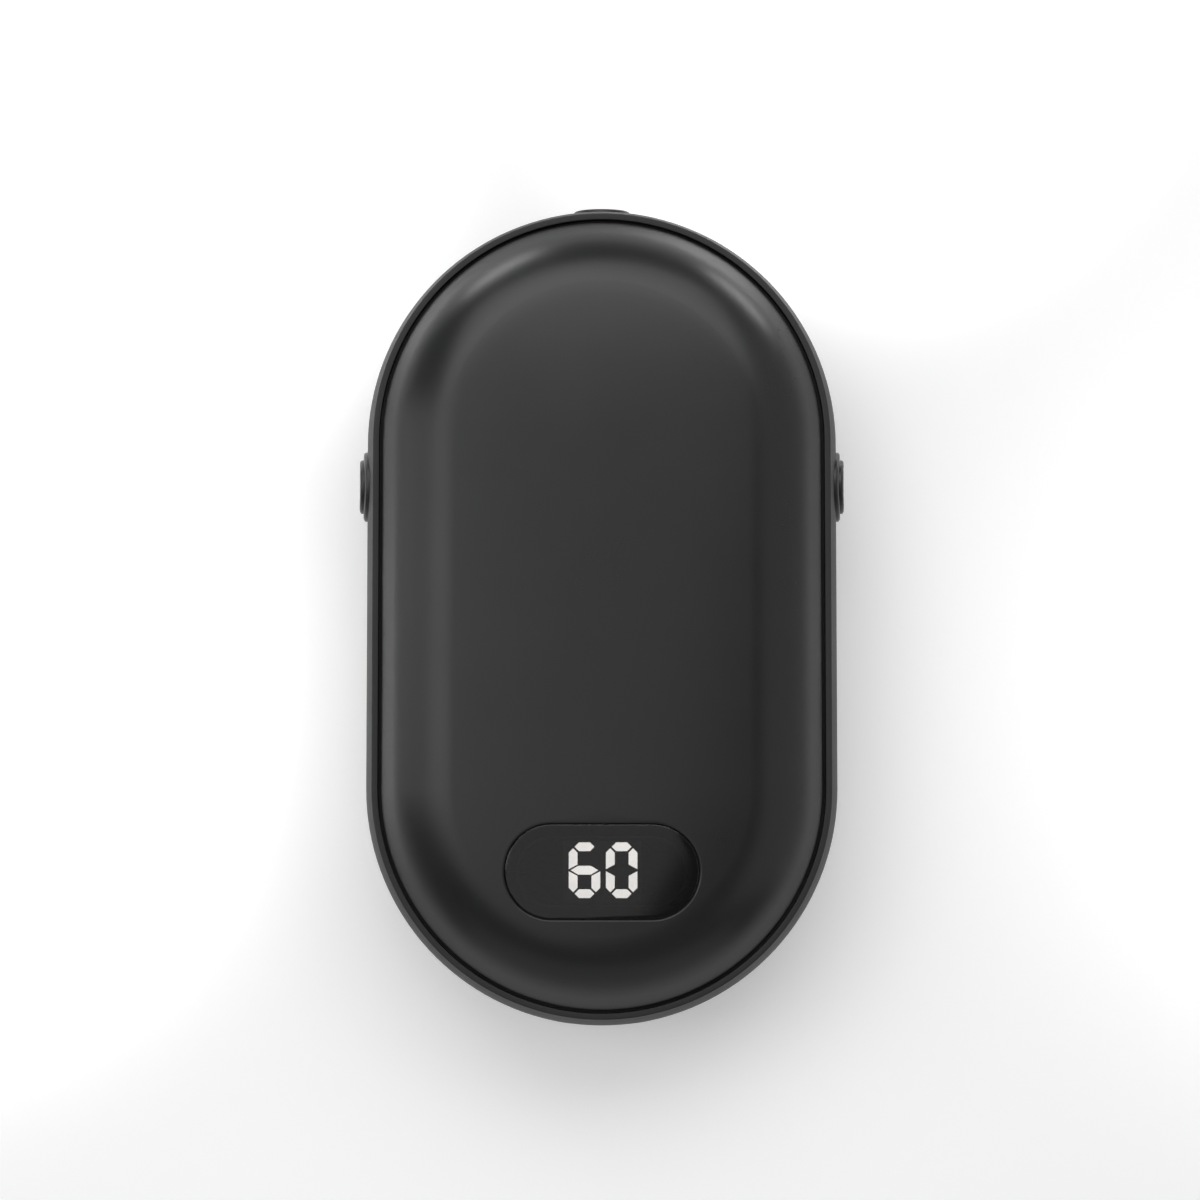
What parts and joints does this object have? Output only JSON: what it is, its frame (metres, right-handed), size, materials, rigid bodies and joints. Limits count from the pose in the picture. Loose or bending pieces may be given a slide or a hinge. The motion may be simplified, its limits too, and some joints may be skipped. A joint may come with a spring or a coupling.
{
  "type": "rechargeable hand warmer",
  "caption": "Pebble-shaped rechargeable hand warmer: stadium casing with crowned front, rim frame, small digit display, side push buttons and a power button on the top end.",
  "frame": {"origin": "middle of the flat back that the object lies on", "axes": "+X to the right seen from the display side, +Y along the body towards the power button, +Z from the flat back to the display side"},
  "size_m": [0.062, 0.1044, 0.0259],
  "materials": {
    "casing": "soft-touch, near-black",
    "rim": "fine spark-eroded grain, near-black",
    "button": "soft-touch, near-black",
    "window": "smoked clear plastic",
    "gasket": "black",
    "foam": "black foam",
    "display_body": "black",
    "lit_segment": "milky, lit white",
    "unlit_segment": "milky, not lit",
    "switch": "black",
    "plunger": "ivory",
    "board": "green solder mask",
    "steel": "plain",
    "tongue": "black",
    "ferrite": "moulded ferrite",
    "chip": "moulded black",
    "capacitor": "plain can",
    "heat_plate": "plain sheet",
    "film": "amber film",
    "pouch": "foil pouch",
    "lead": "insulated wire"
  },
  "bodies": {
    "housing": {"front_cover": "casing", "rear_cover": "casing", "middle_frame": "rim", "left_button_ring": "button", "right_button_ring": "button", "display_window": "window", "front_gasket": "gasket", "rear_gasket": "gasket", "display_gasket": "foam", "rear_foam": "foam", "front_foam": "foam", "battery_pads": "foam", "display_module": "display_body", "lit_segments": "lit_segment", "unlit_segments": "unlit_segment", "left_switch_body": "switch", "right_switch_body": "switch", "power_switch_body": "switch", "main_board": "board", "battery_protection_board": "board", "board_screws": "steel", "usb_shell": "steel", "usb_tongue": "tongue", "power_inductor": "ferrite", "control_chip": "chip", "charger_chip": "chip", "heater_transistors": "chip", "thermistors": "chip", "capacitors": "capacitor", "rear_heat_plate": "heat_plate", "front_heat_plate": "heat_plate", "rear_heating_film": "film", "front_heating_film": "film", "battery_pouch": "pouch", "rear_heater_leads": "lead", "front_heater_leads": "lead", "battery_leads": "lead"},
    "left_button": {"left_button_cap": "button", "left_switch_plunger": "plunger"},
    "right_button": {"right_button_cap": "button", "right_switch_plunger": "plunger"},
    "power_button": {"power_button_cap": "button", "power_switch_plunger": "plunger"}
  },
  "joints": [
    {"name": "left_press", "type": "slide", "parent": "housing", "child": "left_button", "axis": [1, 0, 0], "range_m": [0, 0.0004], "stiffness_N_per_m": 4000},
    {"name": "right_press", "type": "slide", "parent": "housing", "child": "right_button", "axis": [-1, 0, 0], "range_m": [0, 0.0004], "stiffness_N_per_m": 4000},
    {"name": "power_press", "type": "slide", "parent": "housing", "child": "power_button", "axis": [0, -1, 0], "range_m": [0, 0.0004], "stiffness_N_per_m": 4000}
  ]
}
